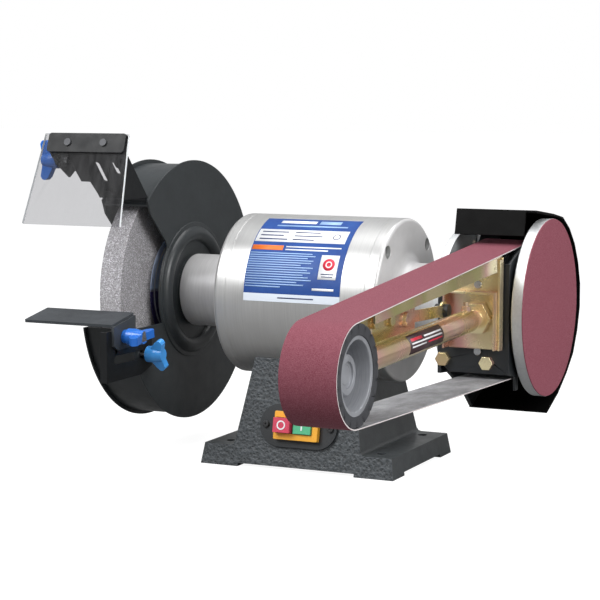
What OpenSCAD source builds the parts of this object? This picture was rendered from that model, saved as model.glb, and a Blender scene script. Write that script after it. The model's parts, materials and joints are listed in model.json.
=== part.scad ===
// Bench grinder with a grinding wheel on the left and a belt and disc linisher on the right.
// Millimetres. X runs along the shaft towards the disc, Y to the back, Z up.
// The origin lies on the bench, at the centre of the four bench bolts.

/* [Motor] */
// Height of the shaft axis above the bench
shaft_z = 173.4; // [172:0.1:178]
// Outer radius of the motor shell
motor_r = 85.1; // [84:0.1:86]
// Length of the motor between its end faces
motor_l = 184; // [180:1:190]
// Radius of the necks that carry the bearings
neck_r = 39; // [37:0.5:41]

/* [Base] */
// Length of the base flange
base_w = 218.4; // [210:0.2:230]
// Depth of the base flange
base_d = 165.2; // [162:0.2:170]
// Height of the base flange
flange_h = 21.6; // [19:0.2:24]
// Half-width of the column where it leaves the flange
column_w = 71; // [69:0.5:73]
// Bench bolt spacing along X
bolt_sx = 172; // [168:1:176]
// Bench bolt spacing along Y
bolt_sy = 114; // [110:1:118]
// Radius of the bench bolt holes
bolt_r = 5; // [4:0.25:6]

/* [Grinding wheel] */
// Radius of the grinding wheel
wheel_r = 125; // [120:1:126]
// Width of the grinding wheel
wheel_w = 25; // [20:1:26]
// Outer radius of the guard plates
guard_r = 140.8; // [139:0.1:143]

/* [Eye shield] */
// Angle of the shield bracket from the horizontal
shield_slope = 48.4; // [46:0.1:50]
// Lean of the clear shield from the vertical
shield_lean = 20.5; // [18:0.1:23]

/* [Tool rest] */
// Lean of the rest table from the horizontal
rest_lean = 10.2; // [8:0.1:12]
// Depth of the rest table
rest_d = 44.4; // [40:0.2:45]

/* [Belt and disc] */
// Distance between the belt wheel axes
belt_centres = 438; // [435:0.5:440]
// Width of the abrasive belt
belt_w = 50; // [45:1:50]
// Thickness of the abrasive belt
belt_t = 1; // [0.8:0.1:1]
// Radius of the drive wheel
drive_r = 65.6; // [64:0.1:66]
// Radius of the idler wheel over its tyre
idler_r = 42; // [41:0.1:43]
// Dip of the arm below the horizontal
arm_dip = 1.16; // [0.9:0.02:1.4]
// Radius of the sanding disc
disc_r = 88.9; // [87:0.1:89]
// Radius of the sliding tube
tube_r = 11; // [10.5:0.1:11.5]

/* [Hidden] */
$fn = 64;

gap = 0.3;
fit = 0.05;
motor_x0 = -motor_l / 2 - 1;
motor_x1 = motor_l / 2 - 1;
bell_t = 14;
left_neck_x = -158;
right_neck_x = 148;
bearing_w = 15;
journal_r = 12.5;
race_r = 26;
seat_l = bearing_w + 0.5;
foot_h = 3.5;
foot_gap_x = 132;
foot_gap_y = 102;
column_top = 113;
column_top_w = 56;
face_tilt = atan((base_d / 2 - 60) / column_top);
switch_z = 46.5;
bolt_circle = 76.5;

wheel_x0 = -205.3;
wheel_x1 = wheel_x0 + wheel_w;
guard_x1 = -161.4;
cover_x0 = -217.9;
sheet = 2;
band_r = guard_r - 4.3;
guard_top = [-98, 101.5];

shield_base = [-101.9, shaft_z + 106.8];
hinge_yz = [-150, 318];
shield_screw_x = [-202.8, -176];
shield_mid_x = -193;
rest_pivot = [-160, 141];
rest_bolt = [-114, 117];
bracket_x0 = guard_x1 + gap;
bracket_t = 3;
rest_x0 = bracket_x0 + bracket_t + gap;

belt_in_drive = drive_r + gap;
belt_in_idler = idler_r + gap;
run_angle = asin((drive_r - idler_r) / belt_centres);
run_l = belt_centres * cos(run_angle);
belt_x = 200.3;
belt_x0 = belt_x - belt_w / 2;
belt_x1 = belt_x + belt_w / 2;
frame_x0 = 156.4;
frame_x1 = 160;
front_y = -84;
side_x = 227.4;
disc_x0 = 232.8;
disc_x1 = 243.8;
lock_r = 62;
guard_line = [
    [-34, 99.2], [22, 92.6], [53, 87.5], [77, 74.2], [95.7, 57.2], [109, 36.8], [117.6, 13],
    [117.9, -11.8], [110.2, -35.9], [96.5, -59], [73.8, -77.1], [45.7, -94], [8.3, -108.9]];
lip_line = [[-40, 74], [-34, 99.2]];
collar_a = 88;
tube_a0 = 118;
tube_a1 = 384;
post_a1 = 300;
plug_a = 344;
lever_pivot = [-242.6, 17.6];
lever_knob = [-135, 11];
platen_gap = 0.3;
yoke_x0 = 169;

// ---- helpers ----

function unit(v) = v / norm(v);
function side_normal(p, q) = let (d = unit(q - p)) [d[1], -d[0]];
function corner_normal(pts, i) =
    let (n0 = side_normal(pts[max(i - 1, 0)], pts[max(i, 1)]),
         n1 = side_normal(pts[min(i, len(pts) - 2)], pts[min(i + 1, len(pts) - 1)]),
         m = unit(n0 + n1))
    m / (m * n0);
function inner_line(pts, t) = [for (i = [0 : len(pts) - 1]) pts[i] + t * corner_normal(pts, i)];
function reversed(pts) = [for (i = [len(pts) - 1 : -1 : 0]) pts[i]];
function polar(r, a) = [r * cos(a), r * sin(a)];

// An open line of points given thickness on its right-hand side
module sheet_line(pts, t) {
    polygon(concat(pts, reversed(inner_line(pts, t))));
}

// A rectangle with round corners, centred
module round_rect(w, h, r) {
    square([w - 2 * r, h], center = true);
    square([w, h - 2 * r], center = true);
    for (x = [-1, 1], y = [-1, 1]) translate([x * (w / 2 - r), y * (h / 2 - r)]) circle(r = r);
}

// A slot with round ends between two points
module slot2d(p, q, r) {
    translate(p) circle(r = r);
    translate(q) circle(r = r);
    translate(p) rotate(atan2(q[1] - p[1], q[0] - p[0]))
        translate([0, -r]) square([norm(q - p), 2 * r]);
}

module at_shaft() {
    translate([0, 0, shaft_z]) children();
}

// Frame of the belt arm: Y is minus the distance along the arm, Z is across it
module on_arm() {
    at_shaft() rotate([arm_dip, 0, 0]) children();
}

// Frame of the upper belt run: Z is measured from the shaft square to the run
module on_run() {
    on_arm() rotate([run_angle, 0, 0]) children();
}

module x_cyl(x0, x1, r, yz = [0, 0]) {
    translate([x0, yz[0], yz[1]]) rotate([0, 90, 0]) cylinder(h = x1 - x0, r = r);
}

module x_tube(x0, x1, r, bore, yz = [0, 0]) {
    difference() {
        x_cyl(x0, x1, r, yz);
        x_cyl(x0 - 1, x1 + 1, bore, yz);
    }
}

module x_hex(x0, x1, flats, yz = [0, 0]) {
    translate([x0, yz[0], yz[1]]) rotate([0, 90, 0])
        cylinder(h = x1 - x0, r = flats / 2 / cos(30), $fn = 6);
}

// Turns an outline of (radius, x) points about the X axis
module x_turn() {
    rotate([0, 90, 0]) rotate_extrude() children();
}

// A plate square to X: the outline is (y, z)
module yz_plate(x0, x1) {
    translate([x0, 0, 0]) rotate([90, 0, 90]) linear_extrude(x1 - x0) children();
}

// A plate square to Y: the outline is (x, z)
module xz_plate(y0, y1) {
    translate([0, y1, 0]) rotate([90, 0, 0]) linear_extrude(y1 - y0) children();
}

module ball_groove() {
    translate([19.25, 0]) circle(r = 4.1);
}

// A plastic wing knob on a hub, its axis along +X from the origin, wings along Y
module wing_knob(reach = 18) {
    difference() {
        union() {
            x_cyl(0, 8, 8.5);
            translate([8, 0, 0]) rotate([0, 90, 0]) cylinder(h = 10, r1 = 8.5, r2 = 6.5);
            for (s = [-1, 1]) wing_blade(s, reach);
        }
        x_cyl(-1, 12, 3);
    }
}

module wing_blade(s, reach) {
    translate([0, 0, -4]) linear_extrude(8) {
        polygon([[4, 0], [6, s * 8], [11, s * reach], [20, s * (reach - 1)], [18, s * 6], [17, 0]]);
        translate([15.5, s * (reach - 1.5)]) circle(r = 4);
    }
}

// ---- base ----

module base_front_outline() {
    top = column_w;
    polygon([
        [-base_w / 2, 0], [base_w / 2, 0], [base_w / 2 - 3, flange_h],
        [top + 5, flange_h], [top + 2, flange_h + 1], [top + 0.2, flange_h + 4],
        [column_top_w, column_top], [-column_top_w, column_top],
        [-top - 0.2, flange_h + 4], [-top - 2, flange_h + 1], [-top - 5, flange_h],
        [-base_w / 2 + 3, flange_h]]);
}

module base_side_outline() {
    polygon([[-base_d / 2, 0], [base_d / 2, 0], [60, column_top], [-60, column_top]]);
}

module base_cavity() {
    difference() {
        intersection() {
            xz_plate(-base_d, base_d) polygon([[-58, -1], [58, -1], [46, 104], [-46, 104]]);
            yz_plate(-base_w, base_w) polygon([[-74.2, -1], [74.2, -1], [53, 104], [-53, 104]]);
        }
        at_shaft() x_cyl(-base_w, base_w, motor_r + 8);
    }
}

module on_face() {
    translate([1.2, -base_d / 2, 0]) rotate([-face_tilt, 0, 0]) translate([0, 0, switch_z])
        children();
}

plate_screw_xy = [for (x = [-61.5, 61.5], y = [-40, 40]) [x, y]];

module base_casting() {
    color("#43474a") difference() {
        intersection() {
            xz_plate(-base_d, base_d) base_front_outline();
            yz_plate(-base_w, base_w) base_side_outline();
        }
        at_shaft() x_cyl(-base_w, base_w, motor_r + 0.1);
        translate([-foot_gap_x / 2, -base_d, -1]) cube([foot_gap_x, 2 * base_d, foot_h + 1]);
        translate([-base_w, -foot_gap_y / 2, -1]) cube([2 * base_w, foot_gap_y, foot_h + 1]);
        base_cavity();
        for (x = [-1, 1], y = [-1, 1])
            translate([x * bolt_sx / 2, y * bolt_sy / 2, -1]) cylinder(h = flange_h + 20, r = bolt_r);
        for (p = plate_screw_xy) translate([p[0], p[1], 0]) cylinder(h = 14, r = 1.9);
        for (x = [-32, 32]) translate([x, 0, 60]) cylinder(h = 60, r = 4.3);
        translate([0, 0, 60]) cylinder(h = 60, r = 9);
        on_face() xz_plate(-5, 24) square([46, 26], center = true);
        on_face() for (x = [-36.5, 36.5]) translate([x, -1, 0]) rotate([-90, 0, 0])
            cylinder(h = 9, r = 2);
        translate([40, base_d / 2 - 30, 42]) rotate([-90, 0, 0]) cylinder(h = 40, r = 8);
    }
}

module base_plate() {
    color("#2b2d2f") difference() {
        translate([-65, -76, 2]) cube([130, 152, 1.5]);
        for (p = plate_screw_xy) translate([p[0], p[1], 0]) cylinder(h = 14, r = 2.2);
    }
}

module base_plate_screws() {
    color("#b9bcc0") for (p = plate_screw_xy) translate([p[0], p[1], 0]) {
        translate([0, 0, 0.6]) cylinder(h = 1.4, r = 3.6);
        translate([0, 0, 1]) cylinder(h = 10, r = 1.85);
    }
}

module motor_bolts() {
    color("#b9bcc0") for (x = [-32, 32]) translate([x, 0, 0]) {
        translate([0, 0, shaft_z - motor_r - 14.5]) cylinder(h = 6, r = 7.5, $fn = 6);
        translate([0, 0, shaft_z - motor_r - 10]) cylinder(h = 14.5, r = 3.95);
    }
}

module cord_gland() {
    color("#1c1d1f") translate([40, 0, 42]) rotate([-90, 0, 0]) difference() {
        union() {
            translate([0, 0, base_d / 2 - 26]) cylinder(h = 22, r = 7.9);
            translate([0, 0, base_d / 2 - 6]) cylinder(h = 8, r = 11, $fn = 6);
            translate([0, 0, base_d / 2 + 2]) cylinder(h = 9, r1 = 9.5, r2 = 7.5);
        }
        translate([0, 0, base_d / 2 - 30]) cylinder(h = 60, r = 4.2);
    }
}

module capacitor() {
    color("#d8d8d4") translate([-38, -12, 24]) rotate([0, 90, 0]) {
        cylinder(h = 72, r = 17);
        translate([0, 0, 72]) cylinder(h = 4, r = 12);
    }
}

module switch_plate() {
    color("#26292c") on_face() xz_plate(-3, 0) difference() {
        slot2d([-21.2, 0], [21.2, 0], 22.4);
        square([46, 26], center = true);
        for (x = [-36.5, 36.5]) translate([x, 0]) circle(r = 2.2);
    }
}

module switch_screws() {
    color("#15171a") on_face() for (x = [-36.5, 36.5]) translate([x, 0, 0]) rotate([90, 0, 0])
        difference() {
            union() {
                translate([0, 0, 3]) cylinder(h = 2, r = 3.6);
                translate([0, 0, -7]) cylinder(h = 10.5, r = 1.95);
            }
            translate([0, 0, 6]) cube([1.6, 1.6, 4], center = true);
        }
}

module switch_bezel() {
    color("#f3bb45") on_face() xz_plate(-9, -3) difference() {
        round_rect(49.6, 29.2, 1.5);
        translate([-2.4, 0]) square([41.4, 16.4], center = true);
    }
}

module switch_body() {
    color("#202224") on_face() translate([-22.4, -1, -12.4]) cube([44.8, 20, 24.8]);
}

module stop_button() {
    color("#c8455c") on_face() translate([-22.6, -16.4, -7.7]) cube([18.6, 12.4, 15.4]);
}

module stop_legend() {
    color("#f4dfe4") on_face() translate([-13.3, -16.8, 0]) rotate([-90, 0, 0]) difference() {
        cylinder(h = 0.4, r = 4.8);
        translate([0, 0, -1]) cylinder(h = 3, r = 3.4);
    }
}

module start_button() {
    color("#58b98d") on_face() translate([-2, -11.6, -7.7]) cube([19.8, 7.6, 15.4]);
}

module start_legend() {
    color("#e2f4ea") on_face() translate([7, -12, -4]) cube([1.6, 0.4, 8]);
}

// ---- motor ----

bolt_angles = [45, 135, 225, 315];

module motor_shell() {
    color("#c9c9c7") at_shaft() difference() {
        x_tube(motor_x0 + bell_t, motor_x1 - bell_t, motor_r, 80);
        for (x = [-32, 32]) translate([x, 0, -motor_r - 4]) cylinder(h = 20, r = 4);
        translate([0, 0, -motor_r - 4]) cylinder(h = 20, r = 9);
    }
}

// An end bell turned about X: the seam with the shell is at x = 0, the neck ends at x = reach
module end_bell(reach) {
    f = 12;
    difference() {
        x_turn() polygon(concat(
            [[race_r, reach], [race_r, reach - seat_l], [20, reach - seat_l], [20, 6], [73, 6],
             [73, -6], [79.9, -6], [79.9, 0], [motor_r, 0]],
            [for (a = [0 : 15 : 90]) [motor_r - 4 + 4 * cos(a), bell_t - 4 + 4 * sin(a)]],
            [for (a = [270 : -15 : 180]) [neck_r + f + f * cos(a), bell_t + f + f * sin(a)]],
            [[neck_r, reach - 1], [neck_r - 1, reach]]));
        for (a = bolt_angles) translate([0, bolt_circle * cos(a), bolt_circle * sin(a)]) {
            x_cyl(-10, 20, 3.2);
            x_cyl(bell_t - 7, 20, 6.5);
        }
        for (a = bolt_angles) translate([0, 32.5 * cos(a), 32.5 * sin(a)])
            x_cyl(reach - 12, reach + 1, 2.5);
    }
}

module left_end_bell() {
    color("#c4c3c2") at_shaft() translate([motor_x0 + bell_t, 0, 0]) mirror([1, 0, 0])
        end_bell(motor_x0 + bell_t - left_neck_x);
}

module right_end_bell() {
    color("#c4c3c2") at_shaft() translate([motor_x1 - bell_t, 0, 0])
        end_bell(right_neck_x - motor_x1 + bell_t);
}

module stator_core() {
    color("#8d9096") at_shaft() difference() {
        x_tube(-41, 39, 79.9, 48.6);
        for (a = bolt_angles) translate([0, bolt_circle * cos(a), bolt_circle * sin(a)])
            x_cyl(-50, 50, 4.4);
    }
}

module windings() {
    color("#b5652d") at_shaft() for (s = [-1, 1]) translate([-1 + s * 51, 0, 0])
        x_turn() translate([62, 0]) round_rect(18, 20, 6);
}

module through_bolts() {
    x0 = motor_x0 + 4.4;
    x1 = motor_x1 - 4.4;
    color("#9fa2a6") at_shaft() for (a = bolt_angles)
        translate([0, bolt_circle * cos(a), bolt_circle * sin(a)]) {
            x_cyl(x0, x1, 3);
            x_cyl(x0, motor_x0 + 6.9, 5.2);
            x_cyl(motor_x1 - 6.9, x1, 5.2);
        }
}

module data_label() {
    big = 2 * motor_r;
    color("#2f5fa8") at_shaft() intersection() {
        x_tube(-57, 51, motor_r + 0.4, motor_r);
        yz_plate(-60, 60) polygon([
            [0, 0], polar(big, 180 - 1.1), polar(big, 180 - 40), polar(big, 180 - 73.7)]);
    }
}

module bearing_at_ends() {
    for (x = [left_neck_x + 0.3, right_neck_x - 0.3 - bearing_w])
        translate([x + bearing_w / 2, 0, 0]) children();
}

module bearing_outer_races() {
    color("#aab0b5") at_shaft() bearing_at_ends() x_turn() difference() {
        translate([21.6, -bearing_w / 2]) square([race_r - 21.6, bearing_w]);
        ball_groove();
    }
}

module bearing_inner_races() {
    color("#b4b9bd") at_shaft() bearing_at_ends() x_turn() difference() {
        translate([journal_r, -bearing_w / 2]) square([17 - journal_r, bearing_w]);
        ball_groove();
    }
}

module bearing_balls() {
    color("#d5d8da") at_shaft() bearing_at_ends() for (i = [0 : 8])
        translate([0, 19.25 * cos(40 * i), 19.25 * sin(40 * i)]) sphere(r = 3.95);
}

module shaft() {
    color("#a9abad") at_shaft() x_turn() polygon([
        [0, -231], [9, -231], [10, -230], [10, -214.6], [journal_r, -214.6], [journal_r, -125],
        [16, -125], [16, 118], [journal_r, 118], [journal_r, 236], [0, 236]]);
}

module rotor_core() {
    color("#7c8087") at_shaft() x_tube(-41, 39, 48, 16);
}

// ---- grinding wheel and guard ----

cover_angles = [204, 268, 332, 36, 100];

module guard_mouth() {
    at_shaft() yz_plate(-260, -150) difference() {
        polygon([[-60.3, 57.1], [-91.6, 86.7], guard_top, [-130, 260], [-260, 260], [-260, -29.4],
                 [-60, -29.4], [-40, 20]]);
        circle(r = 75);
    }
}

// Outline of the guard shell: hub, round bead, side plate and rim band
module guard_outline() {
    x0 = guard_x1 - sheet;
    polygon(concat(
        [[20, x0], [band_r - sheet, x0], [band_r - sheet, cover_x0 + sheet], [band_r, cover_x0 + sheet],
         [band_r, x0], [guard_r, x0], [guard_r, guard_x1], [73.5, guard_x1],
         [73.5, guard_x1 + 1.2]],
        [for (a = [12 : 14 : 180]) [61 + 8 * cos(a), guard_x1 + 6.5 * sin(a)]],
        [[37, guard_x1], [37, left_neck_x], [20, left_neck_x]]));
}

module wheel_guard() {
    color("#2f3436") {
        difference() {
            at_shaft() {
                x_turn() guard_outline();
                for (a = cover_angles)
                    x_cyl(cover_x0 + sheet, cover_x0 + sheet + 7.5, 6, polar(band_r - 7.5, a));
            }
            guard_mouth();
            at_shaft() for (a = bolt_angles) x_cyl(-170, -150, 3.2, polar(32.5, a));
            at_shaft() for (a = cover_angles) x_cyl(-220, -206, 2.1, polar(band_r - 7.5, a));
            x_cyl(-170, -150, 4.2, rest_bolt);
        }
        difference() {
            on_slope() translate([-213, -14, 2]) cube([48, 26, 2]);
            on_slope() for (x = shield_screw_x) translate([x, 5, 0]) cylinder(h = 6, r = 2.2);
        }
    }
}

module guard_screws() {
    color("#9fa2a6") at_shaft() for (a = bolt_angles) {
        p = polar(32.5, a);
        x_cyl(guard_x1 - sheet - 3, guard_x1 - sheet, 5, p);
        x_cyl(guard_x1 - sheet - 1, left_neck_x + 9, 2.45, p);
    }
}

module guard_cover() {
    color("#2f3436") difference() {
        at_shaft() x_turn() polygon([
            [0, cover_x0 - 18], [50, cover_x0 - 18], [60, cover_x0], [guard_r, cover_x0],
            [guard_r, cover_x0 + sheet], [58.8, cover_x0 + sheet], [48.8, cover_x0 - 16],
            [0, cover_x0 - 16]]);
        guard_mouth();
        at_shaft() for (a = cover_angles) x_cyl(-225, -206, 2.4, polar(band_r - 7.5, a));
    }
}

module cover_screws() {
    color("#3c4043") at_shaft() for (a = cover_angles) {
        p = polar(band_r - 7.5, a);
        x_cyl(cover_x0 - 3, cover_x0, 4.6, p);
        x_cyl(cover_x0 - 1, cover_x0 + sheet + 6, 2.05, p);
    }
}

// Frame of the sloping bracket: X along the shaft, Y up the slope
module on_slope() {
    translate([0, shield_base[0], shield_base[1]]) rotate([0, 0, 180]) rotate([shield_slope, 0, 0])
        mirror([1, 0, 0]) children();
}

module shield_bracket() {
    color("#33373a") {
        on_slope() linear_extrude(2) difference() {
            polygon([[-219, -4], [-219, 1.7], [-221, 19.2], [-231.6, 19.4], [-232.6, 41], [-236, 42],
                     [-243, 60], [-161.4, 60], [-161.4, -4]]);
            slot2d([-201.5, 22], [-201.5, 45], 2.6);
            slot2d([-181.5, 33], [-181.5, 45], 2.6);
            for (x = shield_screw_x) translate([x, 5]) circle(r = 2.2);
        }
        difference() {
            union() {
                yz_plate(-163.4, -161.4) {
                    polygon([[-101, 280.6], [-138.6, 323], [-147.5, 322], [-147.3, 278.8], [-103, 278.8]]);
                    translate(hinge_yz) circle(r = 8);
                }
                yz_plate(-233.2, -231.2) {
                    polygon([[-125, 307.6], [-139.6, 324.2], [-152, 325.5], [-156, 312], [-137, 300]]);
                    translate(hinge_yz) circle(r = 8);
                }
            }
            x_cyl(-240, -150, 3.05, hinge_yz);
        }
        on_slope() for (x = shield_screw_x) translate([x, 5, 0]) {
            translate([0, 0, -1]) cylinder(h = 8.5, r = 2.1);
            translate([0, 0, -2.2]) cylinder(h = 2.2, r = 3.8);
            translate([0, 0, 4]) cylinder(h = 3, r = 4, $fn = 6);
        }
    }
}

// Frame of the clear shield: X along the shaft, Y up the panel, Z out of its front
module on_panel() {
    translate([shield_mid_x, -165.5, 346]) rotate([90 - shield_lean, 0, 0]) children();
}

module shield_frame() {
    color("#26292b") {
        difference() {
            on_panel() {
                translate([2.4, -10, 0]) linear_extrude(2) round_rect(90.6, 20, 3);
                translate([2.4, -10, -5]) linear_extrude(2) round_rect(90.6, 20, 3);
                for (x = [-21, 21]) translate([x + 2, -10, -7]) {
                    cylinder(h = 9.5, r = 2.2);
                    translate([0, 0, 8.5]) cylinder(h = 2.2, r = 3.8);
                }
            }
            x_cyl(-240, -150, 3.05, hinge_yz);
        }
        for (x = [-236, -166]) difference() {
            yz_plate(x, x + 2.2) {
                translate(hinge_yz) circle(r = 7);
                polygon([[-144, 322], [-155, 313], [-168.4, 326.8], [-162.5, 342.7], [-160, 342]]);
            }
            x_cyl(-240, -150, 3.05, hinge_yz);
        }
    }
}

module eye_shield() {
    color("#d8e0e2", 0.35) on_panel() difference() {
        translate([0, 0, -3]) linear_extrude(3)
            polygon([[-49, 0], [49, 0], [57.3, -96.2], [-57.3, -96.2]]);
        for (x = [-21, 21]) translate([x + 2, -10, -9]) cylinder(h = 15, r = 2.3);
    }
}

module shield_knob() {
    color("#3d7fc4") translate([-236.4, hinge_yz[0], hinge_yz[1]]) rotate([90, 0, 0])
        mirror([1, 0, 0]) wing_knob();
    color("#9fa2a6") x_cyl(-246, -226, 2.95, hinge_yz);
}

module grinding_wheel() {
    color("#77777a") at_shaft() x_turn() polygon([
        [journal_r, wheel_x0], [wheel_r - 1, wheel_x0], [wheel_r, wheel_x0 + 1],
        [wheel_r, wheel_x1 - 1], [wheel_r - 1, wheel_x1], [journal_r, wheel_x1]]);
}

module wheel_blotters() {
    color("#2c4fa3") at_shaft() {
        x_tube(wheel_x1, wheel_x1 + 1, 62.5, journal_r);
        x_tube(wheel_x0 - 1, wheel_x0, 62.5, journal_r);
    }
}

module wheel_flanges() {
    xi = wheel_x1 + 1;
    xo = wheel_x0 - 1;
    color("#55595d") at_shaft() {
        x_turn() polygon([[journal_r, xi + 1.5], [30, xi + 1.5], [34, xi], [45, xi], [45, xi + 5],
                          [30, xi + 8.5], [16.5, xi + 8.5], [16.5, left_neck_x - 0.3],
                          [journal_r, left_neck_x - 0.3]]);
        x_turn() polygon([[journal_r, xo - 1.5], [30, xo - 1.5], [34, xo], [45, xo], [45, xo - 5],
                          [30, xo - 8.2], [journal_r, xo - 8.2]]);
    }
}

module wheel_nut() {
    color("#8b8f93") at_shaft() difference() {
        x_hex(-226.5, -214.6, 32);
        x_cyl(-230, -210, 10);
    }
}

// ---- tool rest ----

module rest_bracket() {
    x1 = bracket_x0 + bracket_t;
    color("#1e2123") {
        yz_plate(bracket_x0, x1) difference() {
            union() {
                polygon([[-186, 96], [-186, 148], [-176, 148], [-160, 131], [-98, 131], [-98, 103],
                         [-120, 96]]);
                translate(rest_pivot) circle(r = 10);
            }
            slot2d([-170, 117.5], [-110, 117], 4.3);
            translate(rest_pivot) circle(r = 4.05);
        }
        translate([bracket_x0 - 5, -189, 96]) cube([bracket_t + 5, 3, 52]);
    }
}

module rest_stud() {
    color("#b5b8bb") {
        x_cyl(guard_x1 - sheet - 4, guard_x1 + 21, 3.9, rest_bolt);
        x_cyl(guard_x1 - sheet - 4, guard_x1 - sheet, 6.8, rest_bolt);
    }
}

// Frame of the rest table: Y across the table from its front edge, Z out of its top face
module on_rest() {
    translate([0, -180, 154.8]) rotate([rest_lean, 0, 0]) children();
}

module tool_rest() {
    color("#45494c") difference() {
        union() {
            on_rest() translate([-209.5, rest_d / 2, -3]) linear_extrude(3)
                round_rect(105, rest_d, 1.5);
            yz_plate(rest_x0, rest_x0 + 3) {
                polygon([[-180, 133], [-180, 152.2], [-136.8, 160], [-136.8, 145], [-144, 129],
                         [-172, 128]]);
            }
        }
        x_cyl(-175, -150, 4.05, rest_pivot);
    }
}

module rest_tilt_knob() {
    color("#2f73c2") translate([rest_x0 + 3.4, rest_pivot[0], rest_pivot[1]]) {
        rotate([8, 0, 0]) translate([5, 0, 0]) wing_knob();
        x_cyl(0, 6, 7);
    }
    color("#9fa2a6") {
        x_cyl(guard_x1 + 0.1, rest_x0 + 15, 4 - 0.02, rest_pivot);
        x_cyl(guard_x1 + 0.1 - 4, guard_x1 + 0.1, 6.5, rest_pivot);
    }
}

module rest_slide_knob() {
    color("#4b9fe0") translate([guard_x1 + 8, rest_bolt[0], rest_bolt[1]]) {
        rotate([-74, 0, 0]) difference() {
            wing_knob(14);
            x_cyl(-1, 16, 3.95);
        }
    }
}

// ---- belt and disc attachment ----

module adaptor_flange() {
    x0 = right_neck_x;
    x1 = x0 + 8;
    color("#c9ccce") at_shaft() difference() {
        union() {
            x_tube(x0, x1, 75.5, 14.5);
            x_tube(x1 - 1, 168, 26, 14.5);
            x_tube(168, 171, 30, 14.5);
        }
        for (a = bolt_angles) {
            x_cyl(x0 - 1, x1 + 1, 3.2, polar(32.5, a));
            x_cyl(x0 + 3.5, x1 + 1, 5.4, polar(32.5, a));
        }
        yz_plate(x0 - 1, x1 + 1) {
            intersection() {
                difference() {
                    circle(r = lock_r + 4.4);
                    circle(r = lock_r - 4.4);
                }
                polygon([[0, 0], polar(150, -22), polar(150, 25), polar(150, 72)]);
            }
            translate(polar(lock_r, -22)) circle(r = 4.2);
            translate(polar(lock_r, 72)) circle(r = 4.2);
        }
    }
    color("#9fa2a6") at_shaft() for (a = bolt_angles) {
        x_cyl(x0 - 9, x0 + 4, 2.45, polar(32.5, a));
        x_cyl(x0 + 3.5, x0 + 7, 5.35, polar(32.5, a));
    }
}

module frame_side() {
    inner = inner_line(guard_line, sheet + 0.1);
    difference() {
        polygon(concat(
            [[-84, -60], [-84, 22], [-60, 30], [-30, 52], [20, 60], [36, 76]],
            [for (i = [2 : len(inner) - 1]) inner[i]],
            [[-20, -84], [-60, -62]]));
        circle(r = 26 + fit);
        translate(polar(lock_r, 60)) circle(r = 4.02);
    }
}

module arm_frame() {
    color("#2b2e30") at_shaft() {
        yz_plate(frame_x0, frame_x1) frame_side();
        x_tube(frame_x1 - 1, 167.6, 36, 26 + fit);
        difference() {
            xz_plate(front_y, front_y + 3.5)
                polygon([[frame_x0, -46], [frame_x0 + 12, -58], [side_x + 2.4, -58],
                         [side_x + 2.4, 50], [frame_x0 + 12, 50], [frame_x0, 30]]);
            for (p = [[162.9, -45.3], [208.1, -46.9], [199.8, 29.8], [198.2, -36]])
                translate([p[0], front_y + 10, p[1]]) rotate([90, 0, 0]) cylinder(h = 20, r = 2.5);
        }
        yz_plate(side_x, side_x + 2.4) difference() {
            polygon([[-84, -58], [-84, 50], [-50, 62], [-40, 62], [-40, -62], [-54, -62], [-54, -76],
                     [-63, -76], [-64, -62]]);
            circle(r = 34);
        }
    }
}

module frame_bolts() {
    color("#c9bd8c") at_shaft() {
        for (p = [[162.9, -45.3], [208.1, -46.9]]) translate([p[0], front_y, p[1]])
            rotate([90, 0, 0]) {
                cylinder(h = 6, r = 7.2, $fn = 6);
                translate([0, 0, -6]) cylinder(h = 7, r = 2.45);
            }
        for (p = [[199.8, 29.8, 5], [198.2, -36, 0]]) translate([p[0], front_y - p[2], p[1]])
            rotate([90, 0, 0]) {
                cylinder(h = 2, r = 3.8);
                translate([0, 0, -8]) cylinder(h = 9, r = 2.45);
            }
        p = polar(lock_r, 60);
        x_cyl(right_neck_x - 7, frame_x1 + 6, 4, p);
        x_hex(frame_x1, frame_x1 + 5.5, 13, p);
        x_hex(right_neck_x - 6.3, right_neck_x - 0.3, 13, p);
    }
}

module belt_guard() {
    color("#1d1f21") at_shaft() {
        yz_plate(frame_x0, 240) sheet_line(guard_line, 2);
        yz_plate(frame_x0, 229) sheet_line(lip_line, 2);
    }
}

module mount_plate() {
    color("#a8924e") at_shaft() difference() {
        union() {
            translate([170, front_y - 5, -33]) cube([54.5, 2, 90]);
            translate([222.5, front_y - 13, -33]) cube([2, 9, 88]);
            translate([172, front_y - 3.2, -20]) cube([50, 3.2, 40]);
        }
        translate([199.8, front_y + 10, 29.8]) rotate([90, 0, 0]) cylinder(h = 20, r = 2.6);
        translate([belt_x, front_y + 10, -1.7]) rotate([90, 0, 0]) cylinder(h = 30, r = 6.1);
    }
}

module arm_channel() {
    color("#b7a068") at_shaft() difference() {
        translate([169, front_y - 21, -32]) cube([53.2, 16, 56]);
        translate([171, front_y - 22, -40]) cube([49.2, 15, 62]);
        translate([belt_x, front_y + 10, -1.7]) rotate([90, 0, 0]) cylinder(h = 40, r = 8.4);
    }
}

// Post of the sliding tube, with its hexagon collar
module guide_post() {
    color("#c2b36e") on_arm() translate([belt_x, 0, 0]) rotate([90, 0, 0]) {
        translate([0, 0, collar_a + 1.3]) cylinder(h = post_a1 - collar_a - 1.3, r = 8);
        translate([0, 0, collar_a + 4]) cylinder(h = 10, r = 16.5, $fn = 6);
        translate([0, 0, 84.5]) cylinder(h = 6, r = 5.8);
    }
}

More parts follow.
